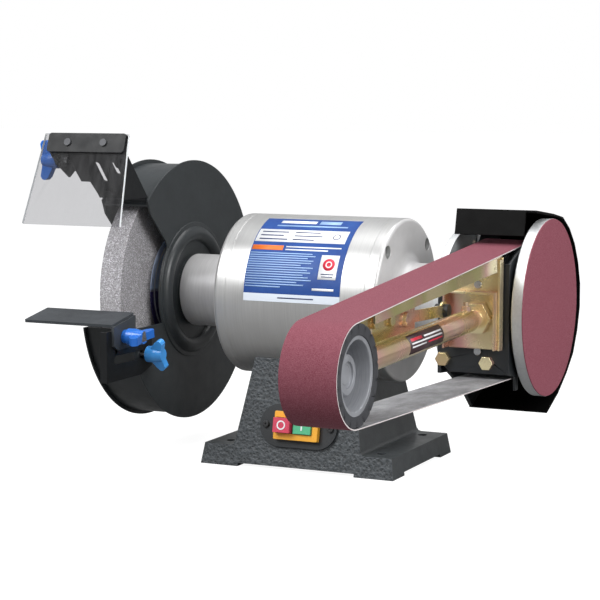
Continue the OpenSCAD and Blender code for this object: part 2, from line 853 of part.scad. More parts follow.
module platen() {
    z1 = belt_in_drive - platen_gap;
    color("#c9b878") {
        on_run() difference() {
            translate([belt_x - 23.8, -398, z1 - 2]) cube([47.6, 312, 2]);
            translate([belt_x - 30, -420, z1 - 40]) cube([60, 21.6, 30]);
        }
        on_run() for (x = [belt_x - 23.8, belt_x + 21.8])
            yz_plate(x, x + 2) polygon([[-398, z1 - 1], [-398, z1 - 7.5], [-100, z1 - 14.5],
                                        [-100, z1 - 1]]);
        on_arm() difference() {
            yz_plate(183, 186) polygon([[-219, 2], [-219, 52.9], [-345, 46.1], [-345, 4]]);
            for (p = [[-316, 24.5], [-279, 21.3]]) x_cyl(170, 195, 3.1, p);
            x_cyl(170, 195, 4.05, lever_pivot);
        }
        on_arm() for (p = [[-316, 24.5], [-279, 21.3]]) {
            x_cyl(182, 188, 3, p);
            x_cyl(186, 189.4, 5.4, p);
        }
        on_arm() x_cyl(178, 189, 4, lever_pivot);
        on_arm() x_cyl(186, 189.6, 6.8, lever_pivot);
    }
}

module tension_lever() {
    d = lever_knob - lever_pivot;
    color("#b98a72") on_arm() yz_plate(180.2, 182.6) difference() {
        union() {
            translate(lever_pivot) circle(r = 7.5);
            translate(lever_pivot) rotate(atan2(d[1], d[0])) translate([0, -5.5]) square([norm(d), 11]);
            translate(lever_knob) circle(r = 9);
        }
        translate(lever_pivot) circle(r = 4.05);
    }
    color("#141517") on_arm() x_cyl(174, 187.5, 6.5, lever_knob);
}

module sliding_tube() {
    color("#c5ae74") on_arm() translate([belt_x, 0, 0]) rotate([90, 0, 0]) {
        difference() {
            translate([0, 0, tube_a0]) cylinder(h = tube_a1 - tube_a0, r = tube_r);
            translate([0, 0, tube_a0 - 1]) cylinder(h = plug_a - tube_a0 + 1, r = 8 + fit);
        }
        translate([0, 0, tube_a0 + 6]) rotate([-90, 0, 0]) {
            translate([0, 0, tube_r - 1]) cylinder(h = 5, r = 4.6, $fn = 6);
            translate([0, 0, tube_r + 3]) cylinder(h = 5, r = 2.6);
        }
    }
}

module tension_spring() {
    turns = 9;
    spring_a0 = post_a1 + 18.4;
    color("#9a9da0") on_arm() translate([belt_x, 0, 0]) rotate([90, 0, 0])
        for (i = [0 : turns - 1])
            translate([0, 0, spring_a0 + i * (plug_a - 3.4 - spring_a0) / (turns - 1)])
                rotate_extrude() translate([5.6, 0]) circle(r = 1.3, $fn = 24);
}

module wheel_yoke() {
    color("#b8a668") on_arm() difference() {
        union() {
            translate([yoke_x0, -388, -14]) cube([45, 4, 44]);
            yz_plate(yoke_x0, yoke_x0 + 4.5) {
                slot2d([-belt_centres, 0], [-400, 0], 14);
                polygon([[-384, -14], [-384, 30], [-392, 30], [-410, 14], [-410, -14]]);
            }
            yz_plate(yoke_x0, yoke_x0 + 4.5) slot2d([-400, -8], [-396, -26], 8);
            x_cyl(yoke_x0, 214, 8, [-belt_centres, 0]);
            x_hex(yoke_x0 - 3.5, yoke_x0, 19, [-belt_centres, 0]);
        }
        x_cyl(yoke_x0 - 1, yoke_x0 + 6, 4.05, [-396, -26]);
    }
}

module tracking_knob() {
    color("#1b1c1e") on_arm() difference() {
        x_cyl(152, yoke_x0 - 0.6, 12, [-396, -26]);
        for (i = [0 : 11]) x_cyl(151, 164, 2, [-396 + 12.6 * cos(30 * i), -26 + 12.6 * sin(30 * i)]);
    }
    color("#9fa2a6") on_arm() x_cyl(166, yoke_x0 + 5.3, 4, [-396, -26]);
}

module idler_wheel() {
    c = [-belt_centres, 0];
    color("#77797d") on_arm() translate([0, c[0], c[1]]) {
        x_turn() polygon([
            [11, 180], [11, 216], [15.5, 216], [17, 214.5], [17, 204], [26, 200], [28.6, 222],
            [29, 223.5], [32.5, 223.5], [32.5, 177], [28, 177], [26, 190], [17, 192], [17, 180]]);
    }
    color("#2e3033") on_arm() translate([0, c[0], c[1]]) difference() {
        x_tube(belt_x - 24.2, belt_x + 24.2, idler_r, 32.5);
        for (i = [0 : 17]) x_cyl(belt_x - 26, belt_x + 26, 1.7, polar(idler_r + 0.5, 20 * i + 7));
    }
    color("#9a9da1") on_arm() translate([0, c[0], c[1]]) for (x = [182, 205])
        x_tube(x, x + 9, 11, 8 + fit);
}

module belt_loop(t) {
    r1 = belt_in_drive + t;
    r2 = belt_in_idler + t;
    n = polar(1, 90 + run_angle);
    m = polar(1, -90 - run_angle);
    c = [-belt_centres, 0];
    circle(r = r1);
    translate(c) circle(r = r2);
    polygon([(r1 - 0.02) * n, c + (r2 - 0.02) * n, c + (r2 - 0.02) * m, (r1 - 0.02) * m]);
}

module belt() {
    color("#93505c") on_arm() yz_plate(belt_x0, belt_x1) difference() {
        belt_loop(belt_t);
        belt_loop(0);
    }
}

module drive_wheel() {
    color("#a3a6a9") at_shaft() x_turn() polygon([
        [journal_r, 175.6], [24, 175.6], [24, 192], [58, 194], [60, 175.6], [drive_r, 175.6],
        [drive_r, 225], [60, 225], [58, 206], [24, 208], [24, 224.5], [journal_r, 224.5]]);
}

module sanding_disc() {
    color("#b3b6b8") at_shaft() {
        x_tube(224.5, disc_x0 + 1, 22, journal_r);
        difference() {
            x_turn() polygon([[0, disc_x0], [disc_r - 1, disc_x0], [disc_r, disc_x0 + 1],
                              [disc_r, disc_x1], [0, disc_x1]]);
            x_cyl(disc_x0 - 1, 236, journal_r);
        }
    }
    color("#8c545f") at_shaft() x_cyl(disc_x1, disc_x1 + 1, disc_r - 0.2);
}

base_casting();
base_plate();
base_plate_screws();
motor_bolts();
cord_gland();
capacitor();
switch_plate();
switch_screws();
switch_bezel();
switch_body();
stop_button();
stop_legend();
start_button();
start_legend();
motor_shell();
left_end_bell();
right_end_bell();
stator_core();
windings();
through_bolts();
data_label();
bearing_outer_races();
bearing_inner_races();
bearing_balls();
shaft();
rotor_core();
wheel_guard();
guard_screws();
guard_cover();
cover_screws();
shield_bracket();
shield_frame();
eye_shield();
shield_knob();
grinding_wheel();
wheel_blotters();
wheel_flanges();
wheel_nut();
rest_bracket();
rest_stud();
tool_rest();
rest_tilt_knob();
rest_slide_knob();
adaptor_flange();
arm_frame();
frame_bolts();
belt_guard();
mount_plate();
arm_channel();
guide_post();
platen();
tension_lever();
sliding_tube();
tension_spring();
wheel_yoke();
tracking_knob();
idler_wheel();
belt();
drive_wheel();
sanding_disc();
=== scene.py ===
"""Bench grinder: procedural looks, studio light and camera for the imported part."""
import json
import math

import bmesh
import bpy
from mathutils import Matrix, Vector


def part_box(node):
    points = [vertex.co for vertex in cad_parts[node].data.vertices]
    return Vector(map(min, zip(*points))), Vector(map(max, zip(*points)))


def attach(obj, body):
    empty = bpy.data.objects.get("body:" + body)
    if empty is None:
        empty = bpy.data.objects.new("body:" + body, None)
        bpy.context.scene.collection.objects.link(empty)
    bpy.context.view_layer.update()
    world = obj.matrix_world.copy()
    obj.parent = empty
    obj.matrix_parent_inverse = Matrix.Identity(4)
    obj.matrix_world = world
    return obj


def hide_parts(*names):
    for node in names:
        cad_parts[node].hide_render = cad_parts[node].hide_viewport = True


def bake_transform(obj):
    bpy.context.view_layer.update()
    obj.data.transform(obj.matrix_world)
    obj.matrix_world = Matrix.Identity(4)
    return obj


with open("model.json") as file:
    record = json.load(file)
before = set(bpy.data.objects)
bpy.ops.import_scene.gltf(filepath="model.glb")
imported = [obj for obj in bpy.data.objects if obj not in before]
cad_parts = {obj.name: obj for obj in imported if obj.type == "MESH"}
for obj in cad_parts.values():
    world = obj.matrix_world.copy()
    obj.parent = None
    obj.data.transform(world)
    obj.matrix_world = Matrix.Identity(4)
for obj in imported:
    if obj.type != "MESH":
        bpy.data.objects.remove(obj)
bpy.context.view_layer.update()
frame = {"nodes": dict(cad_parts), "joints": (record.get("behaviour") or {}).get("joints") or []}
nodes = frame["nodes"]

ANCHOR = {j["name"]: Vector(j["pos_m"]) for j in frame["joints"] if "pos_m" in j}


def middle_and_half(node, axis):
    low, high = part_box(node)
    return (low[axis] + high[axis]) / 2, (high[axis] - low[axis]) / 2


# Metres and radians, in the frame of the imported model
SHAFT_Z = ANCHOR["rotor_spin"].z
TO_IDLER = ANCHOR["idler_spin"] - ANCHOR["rotor_spin"]
CENTRES = math.hypot(TO_IDLER.y, TO_IDLER.z)  # from the drive wheel to the idler
DIP = math.atan2(-TO_IDLER.z, -TO_IDLER.y)  # slope of the belt arm at rest
BELT_X, BELT_HALF = middle_and_half("belt", 0)
BELT_GAP = 0.0003         # between the belt's inner face and each wheel
DRIVE_R = middle_and_half("drive_wheel", 2)[1] + BELT_GAP
IDLER_R = middle_and_half("idler_wheel", 2)[1] + BELT_GAP
MOTOR_R = 0.0851          # radius of the motor's shell
TUBE_R = 0.011            # radius of the sliding tube
FILM = 0.0003             # thickness of the motor's label
MM = 0.001


def lin(r, g, b):
    """Linear colour from 0-255 screen values."""
    def one(c):
        c /= 255
        return c / 12.92 if c <= 0.04045 else ((c + 0.055) / 1.055) ** 2.4
    return (one(r), one(g), one(b), 1)


# ---- materials ----

class Look:
    """A node material built up from procedural parts, in the object's own coordinates."""

    def __init__(self, name):
        self.mat = bpy.data.materials.new(name)
        self.mat.use_nodes = True
        self.tree = self.mat.node_tree
        self.shader = self.tree.nodes["Principled BSDF"]
        self.out = self.tree.nodes["Material Output"]
        self.place = self.new("ShaderNodeTexCoord").outputs["Object"]

    def new(self, kind, **values):
        n = self.tree.nodes.new(kind)
        for k, v in values.items():
            setattr(n, k, v)
        return n

    def link(self, a, b):
        self.tree.links.new(a, b)

    def put(self, node, name, value):
        socket = node.inputs[name]
        if isinstance(value, bpy.types.NodeSocket):
            self.link(value, socket)
        else:
            socket.default_value = value

    def stretched(self, scale):
        n = self.new("ShaderNodeMapping")
        self.link(self.place, n.inputs["Vector"])
        n.inputs["Scale"].default_value = scale
        return n.outputs["Vector"]

    def noise(self, scale, detail, rough=0.55, stretch=None, distort=0.0):
        n = self.new("ShaderNodeTexNoise")
        self.link(self.stretched(stretch) if stretch else self.place, n.inputs["Vector"])
        for k, v in (("Scale", scale), ("Detail", detail), ("Roughness", rough), ("Distortion", distort)):
            n.inputs[k].default_value = v
        return n.outputs["Fac"]

    def cells(self, scale, feature="F1", colour=False):
        n = self.new("ShaderNodeTexVoronoi", feature=feature)
        self.link(self.place, n.inputs["Vector"])
        n.inputs["Scale"].default_value = scale
        return n.outputs["Color" if colour else "Distance"]

    def math(self, kind, a, b=0.0):
        n = self.new("ShaderNodeMath", operation=kind)
        for i, v in enumerate((a, b)):
            self.put(n, i, v)
        return n.outputs[0]

    def ramp(self, value, *stops):
        n = self.new("ShaderNodeValToRGB")
        self.link(value, n.inputs["Fac"])
        e = n.color_ramp.elements
        while len(e) < len(stops):
            e.new(0.5)
        for i, (at, colour) in enumerate(stops):
            e[i].position = at
            e[i].color = colour
        return n.outputs["Color"]

    def span(self, value, a, b, low, high):
        n = self.new("ShaderNodeMapRange")
        for i, v in enumerate((value, a, b, low, high)):
            self.put(n, i, v)
        return n.outputs[0]

    def mix(self, fac, a, b):
        n = self.new("ShaderNodeMix", data_type="RGBA")
        self.put(n, 0, fac)
        self.put(n, 6, a)
        self.put(n, 7, b)
        return n.outputs[2]

    def axes(self):
        n = self.new("ShaderNodeSeparateXYZ")
        self.link(self.place, n.inputs[0])
        return n.outputs

    def set(self, **values):
        for k, v in values.items():
            self.put(self.shader, k.replace("_", " "), v)

    def bump(self, height, strength, distance):
        n = self.new("ShaderNodeBump")
        n.inputs["Strength"].default_value = strength
        n.inputs["Distance"].default_value = distance
        self.link(height, n.inputs["Height"])
        old = self.shader.inputs["Normal"]
        if old.is_linked:
            self.link(old.links[0].from_socket, n.inputs["Normal"])
        self.link(n.outputs[0], old)


def shade(c, k):
    return (min(1, c[0] * k), min(1, c[1] * k), min(1, c[2] * k), 1)


def two_tones(m, value, low, high, colour, spread):
    """The colour, darker and lighter by spread as the value goes from low to high."""
    return m.mix(m.span(value, low, high, 0, 1), shade(colour, 1 - spread), shade(colour, 1 + spread))


def coated(name, colour, rough, spread=0.12, grain=900, grain_depth=0.15, coat=0.0, light=0.5):
    """Paint or plastic: faint patches of tone and gloss and a fine skin."""
    m = Look(name)
    m.set(Base_Color=two_tones(m, m.noise(25, 4), 0.3, 0.7, colour, spread),
          Roughness=m.span(m.noise(75, 5), 0.3, 0.7, rough - 0.06, rough + 0.06))
    m.shader.inputs["Specular IOR Level"].default_value = light
    m.shader.inputs["Coat Weight"].default_value = coat
    m.shader.inputs["Coat Roughness"].default_value = 0.12
    m.bump(m.noise(grain, 2), grain_depth, 0.0004)
    return m


def turned(name, colour, rough, metal, lines, spread=0.16, depth=0.12):
    """Turned or drawn metal: fine lines across one axis."""
    m = Look(name)
    fine = m.noise(1.0, 3, stretch=lines)
    wide = m.noise(22, 4)
    tone = m.math("ADD", m.math("MULTIPLY", fine, 0.6), m.math("MULTIPLY", wide, 0.4))
    m.set(Base_Color=two_tones(m, tone, 0.35, 0.65, colour, spread),
          Roughness=m.span(tone, 0.3, 0.7, rough - 0.07, rough + 0.09), Metallic=metal)
    m.bump(fine, depth, 0.0003)
    return m


def hammered():
    """Hammer-finish enamel on the cast base: large soft dimples over a coarse casting."""
    m = Look("hammered_enamel")
    cell = m.cells(330, "SMOOTH_F1")
    fine = m.noise(620, 4, 0.6)
    height = m.math("ADD", m.math("MULTIPLY", cell, 0.9), m.math("MULTIPLY", fine, 0.7))
    tone = m.span(height, 0.25, 1.05, 0, 1)
    m.set(Base_Color=m.mix(tone, lin(30, 33, 35), lin(80, 85, 89)),
          Roughness=m.span(fine, 0.3, 0.7, 0.34, 0.5), Metallic=0.1)
    m.shader.inputs["Coat Weight"].default_value = 0.15
    m.shader.inputs["Coat Roughness"].default_value = 0.25
    m.bump(height, 0.75, 0.0012)
    return m


def wheel_stone(name, light):
    """Bonded abrasive: pale and dark grains with small pores; light scales every tone."""
    m = Look(name)
    pick = m.new("ShaderNodeSeparateColor")
    m.link(m.cells(1100, colour=True), pick.inputs[0])
    grains = ((0.0, lin(104, 102, 104)), (0.45, lin(134, 132, 134)), (0.8, lin(152, 151, 154)),
              (1.0, lin(190, 189, 194)))
    tone = m.ramp(pick.outputs[0], *((at, shade(c, light)) for at, c in grains))
    cloud = m.span(m.noise(45, 5), 0.3, 0.7, 0, 0.35)
    m.set(Base_Color=m.mix(cloud, tone, shade(lin(128, 126, 128), light)), Roughness=0.88)
    m.shader.inputs["Specular IOR Level"].default_value = 0.3
    m.bump(pick.outputs[1], 0.5, 0.0005)
    m.bump(m.noise(260, 5), 0.3, 0.0008)
    return m


def grit(name, low, mid, high, scale):
    """Coated abrasive: close grains in one colour family, with a faint cloudy wear."""
    m = Look(name)
    pick = m.new("ShaderNodeSeparateColor")
    m.link(m.cells(scale, colour=True), pick.inputs[0])
    tone = m.ramp(pick.outputs[0], (0.0, low), (0.5, mid), (1.0, high))
    m.set(Base_Color=m.mix(m.span(m.noise(18, 4), 0.35, 0.7, 0.0, 0.3), tone, mid), Roughness=0.8)
    m.shader.inputs["Specular IOR Level"].default_value = 0.25
    m.bump(pick.outputs[1], 0.5, 0.0003)
    return m


def cloth():
    """The woven back of the belt."""
    m = Look("belt_cloth")
    a = m.new("ShaderNodeTexWave", wave_type="BANDS", bands_direction="X")
    b = m.new("ShaderNodeTexWave", wave_type="BANDS", bands_direction="Y")
    for w in (a, b):
        m.link(m.place, w.inputs["Vector"])
        w.inputs["Scale"].default_value = 260
        w.inputs["Distortion"].default_value = 0.6
    weave = m.math("MULTIPLY", a.outputs["Fac"], b.outputs["Fac"])
    cloud = m.noise(60, 6, 0.7, stretch=(1, 0.5, 1))
    base = m.mix(m.span(cloud, 0.35, 0.65, 0, 1), lin(100, 100, 103), lin(146, 147, 150))
    m.set(Base_Color=m.mix(m.span(weave, 0, 1, 0, 0.35), base, lin(172, 173, 175)), Roughness=0.75)
    m.bump(weave, 0.4, 0.0003)
    return m


def passivated(name="yellow_zinc", rough=0.24, blush=0.15):
    """Yellow passivated zinc: gold that drifts to pink and green in patches and with the angle."""
    m = Look(name)
    facing = m.new("ShaderNodeLayerWeight")
    facing.inputs["Blend"].default_value = 0.45
    cloud = m.noise(11, 1.5, 0.4, distort=0.3)
    mixed = m.math("ADD", m.math("MULTIPLY", cloud, 0.8),
                   m.math("MULTIPLY", facing.outputs["Facing"], 0.22))
    tone = m.ramp(mixed, (0.2, lin(240, 218, 150)), (0.36, lin(252, 240, 196)), (0.47, lin(230, 184, 168)),
                  (0.57, lin(206, 204, 130)), (0.68, lin(250, 234, 184)), (0.9, lin(200, 216, 168)))
    patch = m.math("MULTIPLY", m.span(m.noise(11, 3), 0.4, 0.58, 0, 1), blush)
    m.set(Base_Color=m.mix(patch, tone, lin(204, 144, 144)), Metallic=0.78,
          Roughness=m.span(m.noise(35, 3), 0.3, 0.7, rough - 0.05, rough + 0.05))
    m.bump(m.noise(200, 2), 0.02, 0.0003)
    return m


def clear_sheet():
    """Clear acrylic: nearly invisible face on, milky along its cut edges, faint wipe marks."""
    m = Look("clear_acrylic")
    wipe = m.noise(1.0, 5, stretch=(260, 40, 40))
    facing = m.new("ShaderNodeLayerWeight")
    facing.inputs["Blend"].default_value = 0.3
    glass = m.new("ShaderNodeBsdfTransparent")
    glass.inputs[0].default_value = (0.76, 0.76, 0.768, 1)
    m.set(Base_Color=lin(222, 222, 224), Roughness=m.span(wipe, 0.3, 0.7, 0.08, 0.25))
    both = m.new("ShaderNodeMixShader")
    amount = m.math("ADD", m.math("MULTIPLY", facing.outputs["Fresnel"], 0.2),
                    m.span(wipe, 0.3, 0.8, 0.0, 0.03))
    m.link(amount, both.inputs[0])
    m.link(glass.outputs[0], both.inputs[1])
    m.link(m.shader.outputs[0], both.inputs[2])
    m.link(both.outputs[0], m.out.inputs["Surface"])
    return m


def blotter_paper():
    """The printed paper washer: light blue ring above, dark navy below, with a pale print band."""
    m = Look("blotter_paper")
    _, y, z = m.axes()
    up = m.math("SUBTRACT", z, SHAFT_Z)
    angle = m.math("ARCTAN2", up, y)
    from_shaft = m.math("SQRT", m.math("ADD", m.math("POWER", up, 2.0), m.math("POWER", y, 2.0)))
    wedge = m.math("GREATER_THAN", m.math("SINE", m.math("MULTIPLY", angle, 3.0)), 0.1)
    ring = m.math("MULTIPLY", m.math("GREATER_THAN", from_shaft, 0.0535),
                  m.math("LESS_THAN", from_shaft, 0.0565))
    base = m.mix(m.span(up, 0.003, 0.006, 0, 1), lin(35, 14, 95), lin(186, 208, 246))
    base = m.mix(m.math("MULTIPLY", wedge, 0.25), base, lin(225, 228, 236))
    base = m.mix(m.math("MULTIPLY", ring, 0.8), base, lin(232, 234, 240))
    m.set(Base_Color=m.mix(m.span(m.noise(500, 3), 0.3, 0.7, 0, 0.12), base, lin(200, 200, 205)),
          Roughness=0.6)
    m.bump(m.noise(900, 3), 0.2, 0.0002)
    return m


def label_film():
    """Printed film of the data label: blue field over a pale strip at its lower edge."""
    m = Look("label_film")
    up = m.math("SUBTRACT", m.axes()[2], SHAFT_Z)
    strip = m.math("LESS_THAN", up, MOTOR_R * math.sin(math.radians(6.6)))
    blue = m.mix(m.span(m.noise(60, 3), 0.3, 0.7, 0, 1), lin(22, 60, 128), lin(32, 74, 142))
    m.set(Base_Color=m.mix(strip, blue, lin(214, 222, 232)),
          Roughness=m.span(m.noise(180, 3), 0.3, 0.7, 0.42, 0.54))
    m.shader.inputs["Specular IOR Level"].default_value = 0.3
    m.bump(m.noise(300, 2), 0.05, 0.0002)
    return m


M = {
    "hammered": hammered(),
    "column": coated("base_enamel", lin(62, 66, 68), 0.4, spread=0.18, grain=500, grain_depth=0.3, coat=0.1),
    "black": coated("black_enamel", lin(3, 3, 3), 0.6, spread=0.2, grain=700, grain_depth=0.12, light=0.12),
    "frame_black": coated("frame_black", lin(30, 33, 36), 0.4, spread=0.2, grain=600, grain_depth=0.2,
                          coat=0.1),
    "bracket_black": coated("bracket_black", lin(17, 19, 21), 0.5, spread=0.22, grain=650, grain_depth=0.2,
                            light=0.3),
    "guard": coated("guard_enamel", lin(42, 46, 48), 0.4, spread=0.12, grain=420, grain_depth=0.12,
                    coat=0.06),
    "rest": coated("rest_enamel", lin(54, 58, 62), 0.46, spread=0.14, grain=900, grain_depth=0.3),
    "matte": coated("matte_plastic", lin(28, 29, 31), 0.5, spread=0.15, grain=1200, grain_depth=0.25),
    "plate": coated("switch_plate", lin(40, 43, 46), 0.45, spread=0.12, grain=1500, grain_depth=0.3),
    "motor": turned("motor_silver", lin(194, 194, 193), 0.36, 0.75, lines=(900, 14, 14), spread=0.07,
                    depth=0.08),
    "bell": turned("bell_silver", lin(204, 203, 203), 0.42, 0.25, lines=(500, 40, 40), spread=0.08,
                   depth=0.08),
    "zinc": turned("bright_zinc", lin(196, 198, 200), 0.28, 1.0, lines=(300, 300, 300), spread=0.1),
    "steel": turned("shaft_steel", lin(166, 168, 172), 0.3, 1.0, lines=(1500, 30, 30)),
    "core": turned("core_laminations", lin(120, 123, 128), 0.5, 1.0, lines=(2400, 3, 3), spread=0.25),
    "copper": turned("winding_copper", lin(176, 92, 48), 0.35, 1.0, lines=(30, 900, 900), spread=0.2,
                     depth=0.4),
    "flange": turned("flange_iron", lin(92, 95, 98), 0.45, 0.6, lines=(800, 60, 60)),
    "adaptor": turned("adaptor_alloy", lin(205, 207, 208), 0.4, 0.6, lines=(400, 400, 400), spread=0.08),
    "alloy": turned("turned_alloy", lin(206, 209, 212), 0.26, 1.0, lines=(1600, 20, 20), spread=0.1,
                    depth=0.2),
    "dark_zinc": turned("dark_zinc", lin(70, 71, 74), 0.5, 0.5, lines=(300, 300, 300), spread=0.1),
    "hub": turned("idler_hub", lin(152, 154, 159), 0.45, 0.35, lines=(900, 60, 60), spread=0.14, depth=0.2),
    "spring": turned("spring_wire", lin(150, 152, 156), 0.32, 1.0, lines=(300, 900, 900)),
    "yellow": coated("yellow_plastic", lin(240, 172, 52), 0.38, spread=0.05, grain=900, grain_depth=0.1,
                     coat=0.2),
    "red": coated("red_plastic", lin(206, 66, 92), 0.34, spread=0.06, grain=900, grain_depth=0.08, coat=0.3),
    "green": coated("green_plastic", lin(84, 182, 136), 0.34, spread=0.06, grain=900, grain_depth=0.08,
                    coat=0.3),
    "blue": coated("blue_plastic", lin(30, 104, 196), 0.34, spread=0.08, grain=800, grain_depth=0.12,
                   coat=0.3),
    "light_blue": coated("light_blue_plastic", lin(66, 152, 228), 0.34, spread=0.08, grain=800,
                         grain_depth=0.12, coat=0.3),
    "white": coated("white_print", lin(232, 234, 236), 0.45, spread=0.03, grain=1200, grain_depth=0.05),
    "print_blue": coated("light_print", lin(150, 182, 222), 0.45, spread=0.05, grain=1200, grain_depth=0.05),
    "print_dark": coated("dark_print", lin(38, 52, 96), 0.45, spread=0.05, grain=1200, grain_depth=0.05),
    "print_red": coated("red_print", lin(206, 34, 62), 0.42, spread=0.05, grain=1200, grain_depth=0.05),
    "print_orange": coated("orange_print", lin(222, 112, 44), 0.42, spread=0.05, grain=1200,
                           grain_depth=0.05),
    "decal": coated("tube_decal", lin(60, 40, 44), 0.4, spread=0.1, grain=1200, grain_depth=0.05),
    "capacitor": coated("capacitor_can", lin(220, 220, 214), 0.4, spread=0.04),
    "stone": wheel_stone("grinding_stone", 1.15),
    # the rim's copy is 1.6 times as light against 1.15 for the sides: painted light on the rim, not a
    # different stone
    "stone_rim_lit": wheel_stone("grinding_stone_rim", 1.6),
    "grit": grit("belt_grit", lin(108, 51, 62), lin(122, 66, 78), lin(137, 83, 93), 2200),
    "disc_grit": grit("disc_grit", lin(122, 58, 70), lin(140, 76, 89), lin(158, 98, 110), 2300),
    "cloth": cloth(),
    "edge": coated("belt_edge", lin(214, 206, 206), 0.7, spread=0.1, grain=1500, grain_depth=0.3),
    "zinc_gold": passivated(),
    "zinc_pink": passivated("pink_zinc", 0.26, 0.7),
    "clear": clear_sheet(),
    "clear_edge": coated("acrylic_edge", lin(238, 242, 243), 0.25, spread=0.03, grain=600, grain_depth=0.05),
    "paper": blotter_paper(),
    "film": label_film(),
    "rubber": coated("tyre_rubber", lin(58, 59, 63), 0.62, spread=0.14, grain=700, grain_depth=0.4),
}

LOOKS = {
    "hammered": ["base_casting"],
    "black": ["belt_guard"],
    "frame_black": ["arm_frame", "base_plate"],
    "bracket_black": ["shield_bracket", "shield_frame", "rest_bracket"],
    "guard": ["wheel_guard", "guard_cover"],
    "rest": ["tool_rest"],
    "plate": ["switch_plate"],
    "matte": ["cord_gland", "switch_screws", "switch_body", "tracking_knob", "cover_screws"],
    "motor": ["motor_shell"],
    "bell": ["left_end_bell", "right_end_bell"],
    "zinc": ["base_plate_screws", "motor_bolts", "through_bolts", "guard_screws", "wheel_nut", "rest_stud",
             "bearing_outer_races", "bearing_inner_races", "bearing_balls"],
    "steel": ["shaft"],
    "core": ["stator_core", "rotor_core"],
    "copper": ["windings"],
    "flange": ["wheel_flanges"],
    "adaptor": ["adaptor_flange", "sanding_disc"],
    "alloy": ["drive_wheel"],
    "yellow": ["switch_bezel"],
    "red": ["stop_button"],
    "green": ["start_button"],
    "white": ["stop_legend", "start_legend"],
    "capacitor": ["capacitor"],
    "stone": ["grinding_wheel"],
    "paper": ["wheel_blotters"],
    "film": ["data_label"],
    "clear": ["eye_shield"],
    "zinc_gold": ["frame_bolts", "guide_post", "platen", "tension_lever", "sliding_tube", "wheel_yoke"],
    "zinc_pink": ["mount_plate", "arm_channel"],
    "spring": ["tension_spring"],
    "grit": ["belt"],
    "blue": ["shield_knob", "rest_tilt_knob"],
    "light_blue": ["rest_slide_knob"],
    "hub": ["idler_wheel"],
}
BEVEL = {"base_casting": 0.0008, "wheel_guard": 0.0004, "guard_cover": 0.0004, "arm_frame": 0.0005,
         "tool_rest": 0.0006, "belt_guard": 0.0005, "drive_wheel": 0.0006, "idler_wheel": 0.0004,
         "platen": 0.0004, "adaptor_flange": 0.0006, "left_end_bell": 0.0005, "right_end_bell": 0.0005}
CLAMPED = {"shield_knob", "rest_tilt_knob", "rest_slide_knob", "tracking_knob", "tool_rest", "base_casting",
           "cord_gland", "shield_bracket", "shield_frame"}
NO_BEVEL = {"belt", "data_label", "wheel_blotters", "tension_spring", "bearing_balls", "windings",
            "stator_core", "rotor_core", "stop_legend", "start_legend"}


def dress(o, *materials):
    o.data.materials.clear()
    for m in materials:
        o.data.materials.append(m.mat)


def soften(o, width, angle=38):
    """Welds, bevels and re-weights the normals, so that edges catch the light."""
    weld = o.modifiers.new("weld", "WELD")
    weld.merge_threshold = 1e-6
    bevel = o.modifiers.new("bevel", "BEVEL")
    bevel.width = width
    bevel.segments = 2
    bevel.limit_method = "ANGLE"
    bevel.angle_limit = math.radians(angle)
    bevel.use_clamp_overlap = o.name in CLAMPED
    normals = o.modifiers.new("normals", "WEIGHTED_NORMAL")
    normals.weight = 60


for look, names in LOOKS.items():
    for name in names:
        dress(nodes[name], M[look])
for name, o in nodes.items():
    if name not in NO_BEVEL:
        soften(o, BEVEL.get(name, 0.0003))


# ---- pieces built here ----

def piece(name, verts, faces, body, *materials, slot):
    """A mesh piece from points in metres, riding on a body unless that is None."""
    me = bpy.data.meshes.new(name)
    me.from_pydata([tuple(v) for v in verts], [], faces)
    bm = bmesh.new()
    bm.from_mesh(me)
    bmesh.ops.recalc_face_normals(bm, faces=bm.faces)
    bm.to_mesh(me)
    bm.free()
    o = bpy.data.objects.new(name, me)
    bpy.context.scene.collection.objects.link(o)
    for m in materials:
        me.materials.append(m.mat)
    for p in me.polygons:
        p.use_smooth = True
    if body:
        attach(o, body)
    return o


def arm_point(x, along, across):
    """A point of the belt arm's frame: along runs out to the idler, across is square to it."""
    y, z = -along, across
    return Vector((x, y * math.cos(DIP) - z * math.sin(DIP),
                   SHAFT_Z + y * math.sin(DIP) + z * math.cos(DIP)))


def strip_faces(steps):
    """Faces of a thin closed strip made of rows of four points: two inside, then two outside."""
    faces = []
    for b in range(0, 4 * steps, 4):
        faces += [(b + 2, b + 3, b + 7, b + 6), (b, b + 4, b + 5, b + 1), (b, b + 2, b + 6, b + 4),
                  (b + 1, b + 5, b + 7, b + 3)]
    end = 4 * steps
    return faces + [(0, 1, 3, 2), (end, end + 2, end + 3, end + 1)]


def label_patch(name, look, x0, x1, a0, a1, lift=0.00055, steps=8):
    """A thin printed patch on the motor, between two angles above horizontal at the front."""
    verts = []
    for i in range(steps + 1):
        a = math.radians(a0 + (a1 - a0) * i / steps)
        for r in (MOTOR_R + FILM, MOTOR_R + lift):
            for x in (x0, x1):
                verts.append((x, -r * math.cos(a), SHAFT_Z + r * math.sin(a)))
    piece(name, verts, strip_faces(steps), "root", M[look], slot="label_blue")


